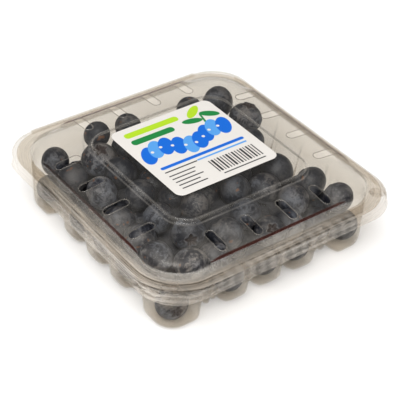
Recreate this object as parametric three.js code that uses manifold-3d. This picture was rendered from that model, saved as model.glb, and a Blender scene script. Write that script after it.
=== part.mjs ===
// A clear hinged punnet of blueberries with a square label on its lid, as a three.js scene.
//
// Units are millimetres and +Z is up. The origin is under the middle of the punnet, on the
// plane that its four corner feet stand on. The hinged back is at +Y, the opening front at -Y.
// The tray and the lid are thin shells: each is one closed skin that runs up its outer face,
// over its edge and back down its inner face, through a list of rounded-square rings.

import * as THREE from 'three';
import { mergeVertices } from 'three/addons/utils/BufferGeometryUtils.js';
import Module from 'manifold-3d';

const wasm = await Module();
wasm.setup();

// ---------------------------------------------------------------- driving dimensions
const SHEET = 0.5; // thickness of the clear sheet
const GAP = 0.3; // clearance between lid and tray

const BRIM_X = 60.5; // half width of the lid's flat brim
const BRIM_Y = 61.7; // half depth of the lid's flat brim
const BRIM_Z = 28.0; // top of the brim above the ground
const BRIM_R = 16.5; // corner radius of the brim
const SKIRT_DROP = 4.7; // the skirt hangs this far below the brim
const SKIRT_FLARE = 1.3; // and leans outward by this much

const LID_WALL = 55.6; // half width where the lid's wall meets the brim
const LID_WALL_R = 16; // corner radius there
const CREASE = 54.6; // half width at the fold on top of the lid's wall
const CREASE_RISE = 4.2; // height of that fold above the brim
const SHOULDER_RISE = 6.4; // height of the shoulder's inner edge above the brim
const SHOULDER_FLAT = 42; // half width at which the shoulder starts to fall
const SHOULDER_FALL = 0.12; // and by how much it falls for each millimetre outward
const PLATEAU = 35.0; // half width of the raised middle of the lid
const PLATEAU_R = 10; // its corner radius
const PLATEAU_RISE = 8.5; // its height above the brim

const SLOT_AT = [-26.7, -8.9, 8.9, 26.7]; // vent slots along each side of the shoulder
const SLOT_MIDDLE = 47.2; // distance of each slot's middle from the centre
const SLOT_LENGTH = 11.4;
const SLOT_WIDTH = 3.3;

const FOOT_Z = 1.8; // the side feet end this far above the ground
const POD_AT = 43.7; // middle of each round corner foot, along X and Y
const POD_R = 9.5; // its radius
const FLOOR_Z = 4.2; // underside of the raised floor panel
const FLOOR_HALF = 37.5; // half width of that panel
const FLOOR_SLOPE = 4.5; // run of the slope from the panel down to the feet
const FOOT_HALF = POD_AT + POD_R; // half width at the foot of the tray's wall
const FOOT_ROUND = 4.2; // rounding from the wall into the feet
const TRAY_TOP = 55.0; // half width under the flange
const TRAY_TOP_R = 15.5; // corner radius there
const LOBE_PITCH = 17.5; // three broad feet per side stand at this spacing
const LOBE_HALF = 4.85; // half width of each of them
const FLANK_RUN = 2.3; // run of the slope beside each of them
const FLANK_IN = 0.6; // share of the flute's depth at the end of that slope
const FLUTE_FOOT = 5.5; // depth of the flutes between the feet, at the foot
const FLUTE_TOP = 1.4; // and near the flange
const FLUTE_LOW = 6.0; // heights of those two depths
const FLUTE_HIGH = 23.2;
const END_RIB_AT = 29.8; // a narrow rib stands in the wide flute beside each corner foot

const LABEL_W = 52;
const LABEL_H = 51.4;
const LABEL_R = 3.5;
const LABEL_T = 0.2;
const LABEL_X = 1.3; // the label sits off centre, towards the hinge
const LABEL_Y = 5.2;

const HINGE_CUT_Y = 51; // behind this the lid has no skirt, so that it can swing
const HINGE_EDGE_Y = 63.0; // the lid's half of the hinge ends here
const HINGE_EDGE_IN = 2; // and reaches this far back into the brim
const HINGE_EDGE_WIDTH = 88;
const BUTTON_AT_X = 53.2; // snap buttons on the two front corners of the brim
const BUTTON_AT_Y = 54.0;
const BUTTON_R = 3.1;
const BUTTON_RISE = 0.8;

const CORNER_STEPS = 5; // facets of one rounded corner
const STATION_GAP = 0.05; // least distance from a side's last station to its corner

// Berries that lie against the lid: x, y and radius. Their height follows from the lid.
const TOP_BERRIES = [
  [-46.2, 39.4, 6.4], [-28.6, 31.6, 8.0], [-46.0, 25.6, 6.5], [-41.0, 10.6, 7.3],
  [-29.6, -0.6, 6.8], [-45.4, -8.6, 6.8], [-31.9, -16.4, 6.8], [-46.8, -34.6, 6.8],
  [-36.6, -45.6, 7.0], [-27.2, -31.0, 7.1], [-14.6, -38.6, 7.1], [-16.6, -20.6, 6.7],
  [-0.2, -33.4, 6.7], [1.4, -47.4, 6.4], [22.4, -36.6, 7.0], [39.4, -45.6, 6.6],
  [36.4, -31.2, 7.3], [30.3, -16.6, 7.6], [46.0, 23.2, 7.6], [41.2, 39.4, 7.6],
  [33.4, 7.0, 7.0], [25.3, 39.6, 6.5], [-5.5, 43.8, 6.3], [-20.4, 46.4, 6.1],
];
// Loose berries start on square grids. The lower one fills the floor between the berries that
// sit in the feet, and the upper one leaves out the rows along the back and the right wall.
const BERRY_PITCH = 14.6;
const LOWER = { rows: 5, kept: 5, z: 11.5 };
const UPPER = { rows: 6, kept: 5, z: 23.0 };
const END_BERRY = [30.6, 39.2]; // start of the loose berry in each wide flute
const BERRY_R_MIN = 6.5;
const BERRY_R_MAX = 7.7;
const SETTLE_STEPS = 160; // rounds of pushing overlapping berries apart
const SETTLE_FALL = 0.06; // fall of a loose berry in each round
const BERRY_SEED = 20;
const BERRY_CLEAR = 0.7; // berries stay this far off the sheet
const FOOT_CLEAR = 1.0; // and those that sit in the feet this far above them
const NEST_DEPTH = 2.8; // a loose berry reaches this far into the pocket behind a foot
// The heap's core, which the berries are fused to: half width, corner radius, low, high.
const CORE = [43.6, 8, 8.3, 16.4];
const UPPER_CORE = [33, 8, 16.0, 26.0];
const UPPER_CORE_SHIFT = -6; // the upper core stays clear of the back and the right wall
const NECK_R = 2; // a thin neck under each top berry fuses it to the core
const NECK_REACH = 41; // and stands no further out than this

// ---------------------------------------------------------------- materials
const clearSheet = new THREE.MeshStandardMaterial({
  color: 0xd9d2c8, roughness: 0.12, metalness: 0, transparent: true, opacity: 0.35,
});
const labelPaper = new THREE.MeshStandardMaterial({ color: 0xe8e4de, roughness: 0.5, metalness: 0 });
const berrySkin = new THREE.MeshStandardMaterial({ color: 0x33384a, roughness: 0.6, metalness: 0 });

// ---------------------------------------------------------------- closed skins through rings
// A ring is a rounded rectangle with the same stations on every ring of a skin. A profile
// names each ring: half widths along X and Y, corner radius and height, and for the tray how
// deep its flutes are there, how far they lift the ring and how far the corners drop it.
function ring(profile, stations) {
  const { hx, hy, r, z, flute = 0, lift = 0, drop = 0 } = profile;
  const points = [];
  for (let side = 0; side < 4; side += 1) {
    const turn = (side * Math.PI) / 2;
    const across = side % 2 === 0 ? hy : hx;
    const along = side % 2 === 0 ? hx : hy;
    const place = (s, out, up) => points.push([
      Math.cos(turn) * s + Math.sin(turn) * out,
      Math.sin(turn) * s - Math.cos(turn) * out,
      up,
    ]);
    const reach = stations.length > 0 ? stations[stations.length - 1].s + STATION_GAP : 1;
    const squeeze = Math.min((along - r) / reach, 1);
    for (const { s, inset, rise, corner } of stations) {
      place(s * squeeze, across - flute * inset, z + lift * rise - drop * corner);
    }
    for (let k = 0; k <= CORNER_STEPS; k += 1) {
      const a = ((k / CORNER_STEPS) * Math.PI) / 2;
      place(along - r + r * Math.sin(a), across - r + r * Math.cos(a), z - drop);
    }
  }
  return points;
}

// Joins the rings in order and closes both ends with a fan, as one body.
function skin(profiles, stations) {
  const rings = profiles.map((profile) => ring(profile, stations));
  const count = rings[0].length;
  const vertices = rings.flat();
  const faces = [];
  for (let row = 0; row + 1 < rings.length; row += 1) {
    for (let i = 0; i < count; i += 1) {
      const j = (i + 1) % count;
      const [a, b] = [row * count + i, row * count + j];
      faces.push([a, b, b + count], [a, b + count, a + count]);
    }
  }
  const low = vertices.push([0, 0, profiles[0].z]) - 1;
  const high = vertices.push([0, 0, profiles[profiles.length - 1].z]) - 1;
  const last = (rings.length - 1) * count;
  for (let i = 0; i < count; i += 1) {
    const j = (i + 1) % count;
    faces.push([low, j, i], [high, last + i, last + j]);
  }
  const geometry = new THREE.BufferGeometry();
  geometry.setAttribute('position', new THREE.Float32BufferAttribute(vertices.flat(), 3));
  geometry.setIndex(faces.flat());
  return geometry;
}

// ---------------------------------------------------------------- joins and cuts
function toSolid(geometry) {
  const bare = geometry.clone();
  bare.deleteAttribute('normal');
  bare.deleteAttribute('uv');
  const merged = mergeVertices(bare, 1e-4);
  return new wasm.Manifold(new wasm.Mesh({
    numProp: 3,
    vertProperties: new Float32Array(merged.attributes.position.array),
    triVerts: new Uint32Array(merged.index.array),
  }));
}

function toGeometry(solid) {
  const mesh = solid.getMesh();
  const geometry = new THREE.BufferGeometry();
  const positions = new Float32Array(mesh.vertProperties);
  geometry.setAttribute('position', new THREE.BufferAttribute(positions, 3));
  geometry.setIndex(new THREE.BufferAttribute(new Uint32Array(mesh.triVerts), 1));
  return geometry;
}

const join = (solids) => solids.reduce((whole, next) => whole.add(next));

function roundedSquare(width, height, radius) {
  const [x, y] = [width / 2 - radius, height / 2 - radius];
  const shape = new THREE.Shape();
  shape.absarc(x, y, radius, 0, Math.PI / 2);
  shape.absarc(-x, y, radius, Math.PI / 2, Math.PI);
  shape.absarc(-x, -y, radius, Math.PI, 1.5 * Math.PI);
  shape.absarc(x, -y, radius, 1.5 * Math.PI, 2 * Math.PI);
  return shape;
}

const slab = (shape, depth, curveSegments = 6) => (
  new THREE.ExtrudeGeometry(shape, { depth, bevelEnabled: false, curveSegments })
);

// A body turned round the Z axis from [radius, height] pairs that start and end on the axis.
const turned = (pairs, segments) => new THREE.LatheGeometry(
  pairs.map(([r, z]) => new THREE.Vector2(r, z)), segments,
).rotateX(Math.PI / 2);

// ---------------------------------------------------------------- lid
// The lid's upper face from its middle outward, as [half width, corner radius, height], with
// the extra half depth that the brim has along Y.
const LID_PROFILE = [
  [PLATEAU - 0.5, PLATEAU_R - 0.5, BRIM_Z + PLATEAU_RISE, 0],
  [PLATEAU, PLATEAU_R, BRIM_Z + PLATEAU_RISE - 0.4, 0],
  [PLATEAU + 0.4, PLATEAU_R + 0.4, BRIM_Z + SHOULDER_RISE, 0],
  [42, 13, BRIM_Z + SHOULDER_RISE - 0.2, 0],
  [48, 15, BRIM_Z + SHOULDER_RISE - 0.7, 0],
  [52.2, 15.6, BRIM_Z + SHOULDER_RISE - 1.4, 0],
  [CREASE, LID_WALL_R, BRIM_Z + CREASE_RISE, 0],
  [LID_WALL, LID_WALL_R, BRIM_Z, 0],
  [BRIM_X, BRIM_R, BRIM_Z, BRIM_Y - BRIM_X],
  [BRIM_X + 0.5, BRIM_R + 0.5, BRIM_Z - 0.5, BRIM_Y - BRIM_X],
  [BRIM_X + SKIRT_FLARE, BRIM_R + SKIRT_FLARE, BRIM_Z - SKIRT_DROP, BRIM_Y - BRIM_X],
];

// The same face moved by the sheet's thickness along its own normals.
function underside(profile, thickness) {
  return profile.map(([half, radius, z, extra], i) => {
    const [h0, , z0] = profile[Math.max(i - 1, 0)];
    const [h1, , z1] = profile[Math.min(i + 1, profile.length - 1)];
    const length = Math.hypot(h1 - h0, z1 - z0);
    const inward = (thickness * (z0 - z1)) / length;
    const down = (thickness * (h1 - h0)) / length;
    return [half - inward, radius - inward, z - down, extra];
  });
}

function makeLid() {
  const toRing = ([half, radius, z, extra]) => ({ hx: half, hy: half + extra, r: radius, z });
  const below = underside(LID_PROFILE, SHEET);
  below[0][2] = LID_PROFILE[0][2] - SHEET;
  const shell = skin([...below.map(toRing), ...LID_PROFILE.map(toRing).reverse()], []);

  const button = turned([
    [0, -SHEET / 2], [BUTTON_R, -SHEET / 2], [BUTTON_R, 0],
    [BUTTON_R * 0.7, BUTTON_RISE], [0, BUTTON_RISE],
  ], 12);
  const buttons = [-1, 1].map((side) => (
    toSolid(button.clone().translate(side * BUTTON_AT_X, -BUTTON_AT_Y, BRIM_Z))
  ));

  const hingeEdge = new THREE.BoxGeometry(HINGE_EDGE_WIDTH, HINGE_EDGE_IN, SHEET);
  hingeEdge.translate(0, HINGE_EDGE_Y - HINGE_EDGE_IN / 2, BRIM_Z - SHEET / 2);

  const slot = slab(roundedSquare(SLOT_WIDTH, SLOT_LENGTH, SLOT_WIDTH / 2), PLATEAU_RISE, 3);
  const slots = [];
  for (let side = 0; side < 4; side += 1) {
    for (const at of SLOT_AT) {
      const cutter = slot.clone().translate(at, -SLOT_MIDDLE, BRIM_Z);
      slots.push(toSolid(cutter.rotateZ((side * Math.PI) / 2)));
    }
  }

  const brimUnder = BRIM_Z - 2 * SHEET;
  const [cutDepth, cutHeight] = [2 * (BRIM_Y - HINGE_CUT_Y), 2 * SKIRT_DROP];
  const hingeCut = new THREE.BoxGeometry(3 * BRIM_X, cutDepth, cutHeight);
  hingeCut.translate(0, HINGE_CUT_Y + cutDepth / 2, brimUnder - cutHeight / 2);

  return toGeometry(join([toSolid(shell), ...buttons])
    .subtract(join(slots))
    .subtract(toSolid(hingeCut))
    .add(toSolid(hingeEdge)));
}

// ---------------------------------------------------------------- tray
// Stations along one side: three broad feet with a flute between them, a wider flute with a
// narrow rib at each end, and then the round corner feet.
function trayStations() {
  const half = [];
  const station = (s, inset, rise = inset, corner = 0) => half.push({ s, inset, rise, corner });
  station(LOBE_HALF, 0);
  station(LOBE_HALF + FLANK_RUN, FLANK_IN, 0.3);
  station(LOBE_PITCH / 2, 1);
  station(LOBE_PITCH - LOBE_HALF - FLANK_RUN, FLANK_IN, 0.3);
  station(LOBE_PITCH - LOBE_HALF, 0);
  station(LOBE_PITCH + LOBE_HALF, 0);
  station(LOBE_PITCH + LOBE_HALF + FLANK_RUN, FLANK_IN, 0.3);
  station(1.5 * LOBE_PITCH, 1);
  station(END_RIB_AT - 1.8, 1);
  station(END_RIB_AT, FLANK_IN, 0.1);
  station(END_RIB_AT + 1.8, 1);
  station(POD_AT - POD_R + 0.4, 1);
  station(POD_AT - POD_R * 0.72, 0.5, 0.3, 0.6);
  station(POD_AT - POD_R * 0.5, 0.2, 0, 1);
  const mirrored = half.map((each) => ({ ...each, s: -each.s })).reverse();
  return [...mirrored, ...half];
}

function makeTray() {
  const flangeTop = BRIM_Z - SHEET - GAP;
  const rise = FLOOR_Z - FOOT_Z;
  const flange = { hx: BRIM_X - GAP, hy: BRIM_Y - GAP, r: BRIM_R + 3 };
  const foot = { flute: FLUTE_FOOT, lift: rise, drop: FOOT_Z };
  const wall = { flute: FLUTE_FOOT, lift: 0.4 * rise };
  const high = { flute: FLUTE_TOP, z: FLUTE_HIGH };
  const panel = { hx: FLOOR_HALF + FLOOR_SLOPE, r: 3, flute: 0 };
  const rings = [
    { hx: FLOOR_HALF, r: 0.4, z: FLOOR_Z },
    { ...foot, ...panel, z: FOOT_Z },
    { ...foot, hx: FOOT_HALF - FOOT_ROUND * 0.6, r: POD_R - 2.4, z: FOOT_Z },
    { ...foot, hx: FOOT_HALF - FOOT_ROUND * 0.18, r: POD_R - 0.6, z: FOOT_Z + FOOT_ROUND * 0.3 },
    { ...wall, hx: FOOT_HALF, r: POD_R, z: FLUTE_LOW },
    { ...high, hx: TRAY_TOP - 0.3, r: TRAY_TOP_R - 1 },
    { hx: TRAY_TOP, r: TRAY_TOP_R, z: flangeTop - 1.5 },
    { hx: TRAY_TOP + 0.4, r: TRAY_TOP_R + 0.4, z: flangeTop - SHEET },
    { ...flange, z: flangeTop - SHEET },
    { ...flange, z: flangeTop },
    { hx: TRAY_TOP, r: TRAY_TOP_R, z: flangeTop },
    { hx: TRAY_TOP - SHEET, r: TRAY_TOP_R - SHEET, z: flangeTop - 1.5 },
    { ...high, hx: TRAY_TOP - 0.3 - SHEET, r: TRAY_TOP_R - 1 - SHEET },
    { ...wall, hx: FOOT_HALF - SHEET, r: POD_R - SHEET, z: FLUTE_LOW + 0.1 },
    { ...foot, hx: FOOT_HALF - FOOT_ROUND * 0.34, r: POD_R - 1.4, z: FOOT_Z + SHEET + 1.0 },
    { ...foot, ...panel, z: FOOT_Z + SHEET },
    { hx: FLOOR_HALF, r: 0.4, z: FLOOR_Z + SHEET },
  ].map((each) => ({ hy: each.hx, ...each }));
  return skin(rings, trayStations());
}

// ---------------------------------------------------------------- label
function makeLabel() {
  const paper = slab(roundedSquare(LABEL_W, LABEL_H, LABEL_R), LABEL_T, 5);
  return paper.translate(LABEL_X, LABEL_Y, BRIM_Z + PLATEAU_RISE);
}

// ---------------------------------------------------------------- berries
// Part of the way from one value to another, from 0 to 1.
const share = (value, from, to) => Math.min(Math.max((value - from) / (to - from), 0), 1);

// Highest point that a berry may reach at a place under the lid. It falls from the plateau
// to the shoulder before the step between them, by as much as a berry is round.
function ceiling(x, y) {
  const m = Math.max(Math.abs(x), Math.abs(y));
  const shoulder = BRIM_Z + SHOULDER_RISE - SHEET - 0.4;
  const plateau = BRIM_Z + PLATEAU_RISE - SHEET;
  const fall = Math.max(m - SHOULDER_FLAT, 0) * SHOULDER_FALL;
  return plateau + (shoulder - plateau) * share(m, PLATEAU - 11, PLATEAU - 3) - fall;
}

// How far the flutes hold a berry off a wall, by its place along that wall and its height.
function fluteInset(s, z) {
  const past = Math.abs(s);
  const fromLobe = Math.min(past, Math.abs(past - LOBE_PITCH));
  const fromPod = Math.max(POD_AT - past, 0);
  const depth = FLUTE_FOOT + (FLUTE_TOP - FLUTE_FOOT) * share(z, FLUTE_LOW, FLUTE_HIGH);
  const least = fromPod < fromLobe ? 0 : Math.max(depth - NEST_DEPTH, 0);
  return least + (depth - least) * share(Math.min(fromLobe, fromPod), 1, 4);
}

// Keeps a berry inside the tray's walls, over its floor and under the lid.
function confine(berry) {
  const draft = (TRAY_TOP - FOOT_HALF) * (berry.z / BRIM_Z);
  const wall = FOOT_HALF + draft - SHEET - BERRY_CLEAR - berry.r;
  const wallX = wall - fluteInset(berry.y, berry.z);
  const wallY = wall - fluteInset(berry.x, berry.z);
  const low = FLOOR_Z + SHEET + BERRY_CLEAR + berry.r;
  const high = ceiling(berry.x, berry.y) - BERRY_CLEAR - berry.r;
  const round = Math.max(POD_R + (TRAY_TOP_R - POD_R) * (berry.z / BRIM_Z) - berry.r, 0);
  berry.x = Math.min(Math.max(berry.x, -wallX), wallX);
  berry.y = Math.min(Math.max(berry.y, -wallY), wallY);
  berry.z = Math.min(Math.max(berry.z, low), high);
  const cx = Math.abs(berry.x) - (wall - round);
  const cy = Math.abs(berry.y) - (wall - round);
  if (cx > 0 && cy > 0) {
    const reach = Math.sqrt(cx * cx + cy * cy);
    if (reach > round) {
      berry.x = Math.sign(berry.x) * (wall - round + (cx * round) / reach);
      berry.y = Math.sign(berry.y) * (wall - round + (cy * round) / reach);
    }
  }
}

// The berries that sit in the tray's feet: three along each wall and one in each corner.
function nestedBerries(draw) {
  const nested = [];
  const wall = FOOT_HALF - SHEET - BERRY_CLEAR;
  for (const [sx, sy] of [[0, -1], [1, 0], [0, 1], [-1, 0]]) {
    for (const s of [-LOBE_PITCH, 0, LOBE_PITCH]) {
      const r = BERRY_R_MIN + 0.6 * draw();
      const out = wall - r;
      const z = FOOT_Z + SHEET + FOOT_CLEAR + r;
      nested.push({ x: sx * out + sy * s, y: sy * out + sx * s, z, r, fixed: true });
    }
  }
  for (const [sx, sy] of [[-1, -1], [1, -1], [1, 1], [-1, 1]]) {
    const r = BERRY_R_MIN + 0.6 * draw();
    const out = POD_AT + (POD_R - SHEET - BERRY_CLEAR - r) * Math.SQRT1_2;
    nested.push({ x: sx * out, y: sy * out, z: SHEET + FOOT_CLEAR + r, r, fixed: true });
  }
  return nested;
}

// Top berries stay put and the loose ones settle between them and the tray. Only plain
// arithmetic and square roots are used, so that the heap comes out the same anywhere.
function settledBerries() {
  let state = BERRY_SEED;
  const draw = () => {
    state = (state * 1664525 + 1013904223) % 4294967296;
    return state / 4294967296;
  };
  const berries = TOP_BERRIES.map(([x, y, r]) => (
    { x, y, z: ceiling(x, y) - BERRY_CLEAR - r, r, fixed: true }
  ));
  const drop = (x, y, z) => {
    const r = BERRY_R_MIN + (BERRY_R_MAX - BERRY_R_MIN) * draw();
    berries.push({ x, y, z: z + (draw() - 0.5) * 3, r, fixed: false });
  };
  for (const { rows, kept, z } of [LOWER, UPPER]) {
    for (let i = 0; i < kept; i += 1) {
      for (let j = 0; j < kept; j += 1) {
        const x = (i - (rows - 1) / 2) * BERRY_PITCH + (draw() - 0.5) * 4;
        const y = (j - (rows - 1) / 2) * BERRY_PITCH + (draw() - 0.5) * 4;
        drop(x, y, z);
      }
    }
  }
  const [along, out] = END_BERRY;
  for (const [x, y] of [[along, out], [-along, out], [out, along], [-out, along]]) {
    drop(x, y, LOWER.z);
    drop(x, -y, LOWER.z);
  }
  berries.forEach(confine);
  berries.push(...nestedBerries(draw));
  for (let step = 0; step < SETTLE_STEPS; step += 1) {
    for (const berry of berries) {
      if (!berry.fixed) berry.z -= SETTLE_FALL;
    }
    for (let i = 0; i < berries.length; i += 1) {
      for (let j = i + 1; j < berries.length; j += 1) {
        const [a, b] = [berries[i], berries[j]];
        const [dx, dy, dz] = [b.x - a.x, b.y - a.y, b.z - a.z];
        const away = Math.sqrt(dx * dx + dy * dy + dz * dz);
        const overlap = a.r + b.r - away;
        if (overlap <= 0 || (a.fixed && b.fixed)) continue;
        const push = (a.fixed || b.fixed ? overlap : overlap / 2) / away;
        if (!a.fixed) {
          a.x -= dx * push;
          a.y -= dy * push;
          a.z -= dz * push;
        }
        if (!b.fixed) {
          b.x += dx * push;
          b.y += dy * push;
          b.z += dz * push;
        }
      }
    }
    for (const berry of berries) {
      if (!berry.fixed) confine(berry);
    }
  }
  return berries;
}

function makeBerries() {
  const core = ([half, radius, low, high], shift) => toSolid(
    slab(roundedSquare(2 * half, 2 * half, radius), high - low, 2).translate(shift, shift, low),
  );
  const solids = [core(CORE, 0), core(UPPER_CORE, UPPER_CORE_SHIFT)];
  const inside = (value) => Math.min(Math.max(value, -NECK_REACH), NECK_REACH);
  const neckFoot = CORE[3] - 1;
  for (const [x, y, r] of TOP_BERRIES) {
    const height = ceiling(x, y) - r - neckFoot;
    const neck = new THREE.CylinderGeometry(NECK_R, NECK_R, height, 6).rotateX(Math.PI / 2);
    neck.translate(inside(x), inside(y), neckFoot + height / 2);
    solids.push(toSolid(neck));
  }
  settledBerries().forEach((berry, i) => {
    const ball = new THREE.OctahedronGeometry(berry.r, 1);
    ball.rotateZ(i).rotateX(i * 0.9).translate(berry.x, berry.y, berry.z);
    solids.push(toSolid(ball));
  });
  return toGeometry(join(solids));
}

// ---------------------------------------------------------------- scene
const punnet = new THREE.Group();

function addPiece(name, geometry, material) {
  const piece = new THREE.Mesh(geometry, material);
  piece.name = name;
  punnet.add(piece);
}

addPiece('tray', makeTray(), clearSheet);
addPiece('lid', makeLid(), clearSheet);
addPiece('label', makeLabel(), labelPaper);
addPiece('berries', makeBerries(), berrySkin);

export default punnet;
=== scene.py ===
"""A clear hinged punnet of blueberries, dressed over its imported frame.

Lengths are in millimetres until a mesh or a material is made, and lights are placed in metres.
+Z is up and the hinged back is at +Y.
"""

import math
import random

import bpy
from mathutils import Matrix, Vector


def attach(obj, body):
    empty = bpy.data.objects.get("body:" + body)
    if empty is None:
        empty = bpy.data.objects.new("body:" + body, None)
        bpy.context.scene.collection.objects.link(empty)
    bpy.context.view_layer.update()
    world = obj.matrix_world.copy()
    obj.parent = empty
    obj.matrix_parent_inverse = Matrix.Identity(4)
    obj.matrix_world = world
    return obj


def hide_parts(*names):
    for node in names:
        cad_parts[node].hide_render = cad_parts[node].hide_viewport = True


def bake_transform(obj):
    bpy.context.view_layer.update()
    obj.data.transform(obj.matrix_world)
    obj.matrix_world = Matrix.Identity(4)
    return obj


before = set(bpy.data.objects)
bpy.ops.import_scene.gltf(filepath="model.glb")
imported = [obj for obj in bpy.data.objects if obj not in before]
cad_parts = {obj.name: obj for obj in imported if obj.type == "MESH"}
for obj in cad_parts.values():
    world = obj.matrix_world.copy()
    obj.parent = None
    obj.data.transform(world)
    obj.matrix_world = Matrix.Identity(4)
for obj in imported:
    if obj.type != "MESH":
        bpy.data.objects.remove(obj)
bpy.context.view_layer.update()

MM = 0.001

# ---------------------------------------------------------------- named sizes
SHEET = 0.5  # sheet thickness of the solids, which the heap keeps clear of
SKIN = 0.4  # sheet thickness shown
CORNER_STEPS = 14  # faces round a quarter turn of a sheet
BRIM_X, BRIM_Y, BRIM_Z = 60.5, 61.7, 28.0
LID_WALL_R = 16.0
CREASE = 54.6  # half width at the line between the shoulder and the low wall
UPPER_FACE_Z = BRIM_Z + 3.4  # over this are the shoulder and the plateau
PLATEAU, PLATEAU_R, PLATEAU_RISE = 35.0, 10.0, 8.5
SHOULDER_RISE, SHOULDER_FLAT, SHOULDER_FALL = 6.4, 42.0, 0.12
SLOT_AT = (-26.7, -8.9, 8.9, 26.7)
SLOT_MIDDLE, SLOT_LENGTH, SLOT_WIDTH = 47.2, 11.4, 3.8
SLOT_RIM_OUT, SLOT_RIM_R = 0.3, 0.13
HINGE_CUT_Y, HINGE_CUT_LOW, HINGE_Y = 51.0, 20.0, 63.0
HINGE_HALF_WIDTH, HINGE_STEPS = 44.0, 44
OUTSIDE = 70.0  # past every side of the pack
BUTTON_AT = (53.2, -54.0)
RIB_PITCH = 5.2

FOOT_Z = 1.8
POD_AT, POD_R = 43.7, 9.5
FLOOR_Z, FLOOR_HALF = 4.2, 37.5
FOOT_HALF = POD_AT + POD_R
TRAY_TOP, TRAY_TOP_R = 55.0, 15.5
LOBE_PITCH, LOBE_HALF = 17.5, 4.85
FLUTE_FOOT, FLUTE_TOP, FLUTE_LOW, FLUTE_HIGH = 5.5, 1.4, 6.0, 23.2
FLUTE_FADE = (21.0, 25.2)  # heights between which the flutes run out
FLANGE_TOP, FLANGE_GROOVE = 27.2, 0.45
# Small bumps on the tray's sides: place along the side, width, and depth as a flute's share.
INNER_BUMPS = ((LOBE_PITCH / 2, 0.9, 0.28),)
OUTER_BUMPS = ((26.6, 1.2, 0.32), (30.2, 1.5, 0.4))

LABEL_W, LABEL_H, LABEL_R, LABEL_T = 52.0, 51.4, 3.5, 0.2
LABEL_X, LABEL_Y = 1.3, 5.2
LABEL_CORNER_STEPS = 10
PICTURE_PX = 400.0


# ---------------------------------------------------------------- small helpers
def share(value, low, high):
    """Part of the way from low to high, from 0 to 1."""
    return min(max((value - low) / (high - low), 0.0), 1.0)


def smooth(value, low, high):
    """The same with a soft start and end."""
    t = share(value, low, high)
    return t * t * (3 - 2 * t)


def bump(value, middle, width):
    """A round bump of height 1."""
    return math.exp(-(((value - middle) / width) ** 2))


def make_object(name, vertices, faces, material, smooth_shading=True):
    """A mesh object from millimetre vertices."""
    mesh = bpy.data.meshes.new(name)
    mesh.from_pydata([(x * MM, y * MM, z * MM) for x, y, z in vertices], [], faces)
    mesh.polygons.foreach_set("use_smooth", [smooth_shading] * len(mesh.polygons))
    mesh.materials.append(material)
    mesh.update()
    obj = bpy.data.objects.new(name, mesh)
    bpy.context.scene.collection.objects.link(obj)
    return obj


def apply_modifiers(obj):
    """Replaces an object's mesh by the one its modifiers make."""
    depsgraph = bpy.context.evaluated_depsgraph_get()
    mesh = bpy.data.meshes.new_from_object(obj.evaluated_get(depsgraph))
    obj.modifiers.clear()
    obj.data = mesh


# ---------------------------------------------------------------- materials
class Nodes:
    """A short way to write a material's node tree."""

    def __init__(self, name):
        self.material = bpy.data.materials.new(name)
        self.material.use_nodes = True
        self.tree = self.material.node_tree
        self.tree.nodes.clear()
        self.out = self.add("ShaderNodeOutputMaterial")

    def add(self, kind, **settings):
        node = self.tree.nodes.new(kind)
        for key, value in settings.items():
            setattr(node, key, value)
        return node

    def put(self, socket, value):
        if isinstance(value, bpy.types.NodeSocket):
            self.tree.links.new(value, socket)
        else:
            socket.default_value = value

    def math(self, operation, *values, clamp=False):
        node = self.add("ShaderNodeMath", operation=operation, use_clamp=clamp)
        for socket, value in zip(node.inputs, values):
            self.put(socket, value)
        return node.outputs[0]

    def mix(self, factor, a, b, blend="MIX"):
        node = self.add("ShaderNodeMix", data_type="RGBA", blend_type=blend)
        self.put(node.inputs["Factor"], factor)
        self.put(node.inputs[6], a)
        self.put(node.inputs[7], b)
        return node.outputs[2]

    def ramp(self, value, low, high, to_low=0.0, to_high=1.0):
        node = self.add("ShaderNodeMapRange", clamp=True)
        for key, each in zip(("Value", "From Min", "From Max", "To Min", "To Max"),
                             (value, low, high, to_low, to_high)):
            self.put(node.inputs[key], each)
        return node.outputs[0]

    def band(self, value, ends, to_low=0.0, to_high=1.0):
        """A ramp between two places in millimetres."""
        return self.ramp(value, ends[0] * MM, ends[1] * MM, to_low, to_high)

    def length(self, a, b):
        return self.math("SQRT", self.math("MULTIPLY_ADD", a, a, self.math("MULTIPLY", b, b)))

    def beyond(self, across, along, half):
        """How far a point is past a square's half width, in millimetres, each way."""
        return [self.math("MAXIMUM", self.math("SUBTRACT", value, half * MM), 0.0)
                for value in (across, along)]

    def axes(self, place):
        node = self.add("ShaderNodeSeparateXYZ")
        self.put(node.inputs[0], place)
        return node.outputs[0], node.outputs[1], node.outputs[2]

    def noise(self, vector, scale, detail=2.0, roughness=0.5, distortion=0.0):
        node = self.add("ShaderNodeTexNoise")
        self.put(node.inputs["Vector"], vector)
        node.inputs["Scale"].default_value = scale
        node.inputs["Detail"].default_value = detail
        node.inputs["Roughness"].default_value = roughness
        node.inputs["Distortion"].default_value = distortion
        return node.outputs["Fac"]

    def place(self):
        return self.add("ShaderNodeTexCoord").outputs["Object"]

    def bump(self, height, distance, strength=1.0):
        node = self.add("ShaderNodeBump")
        node.inputs["Strength"].default_value = strength
        node.inputs["Distance"].default_value = distance
        self.put(node.inputs["Height"], height)
        return node.outputs["Normal"]

    def finish(self, shader):
        self.put(self.out.inputs["Surface"], shader)
        return self.material


def rgb(r, g, b):
    return (r, g, b, 1.0)


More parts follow.
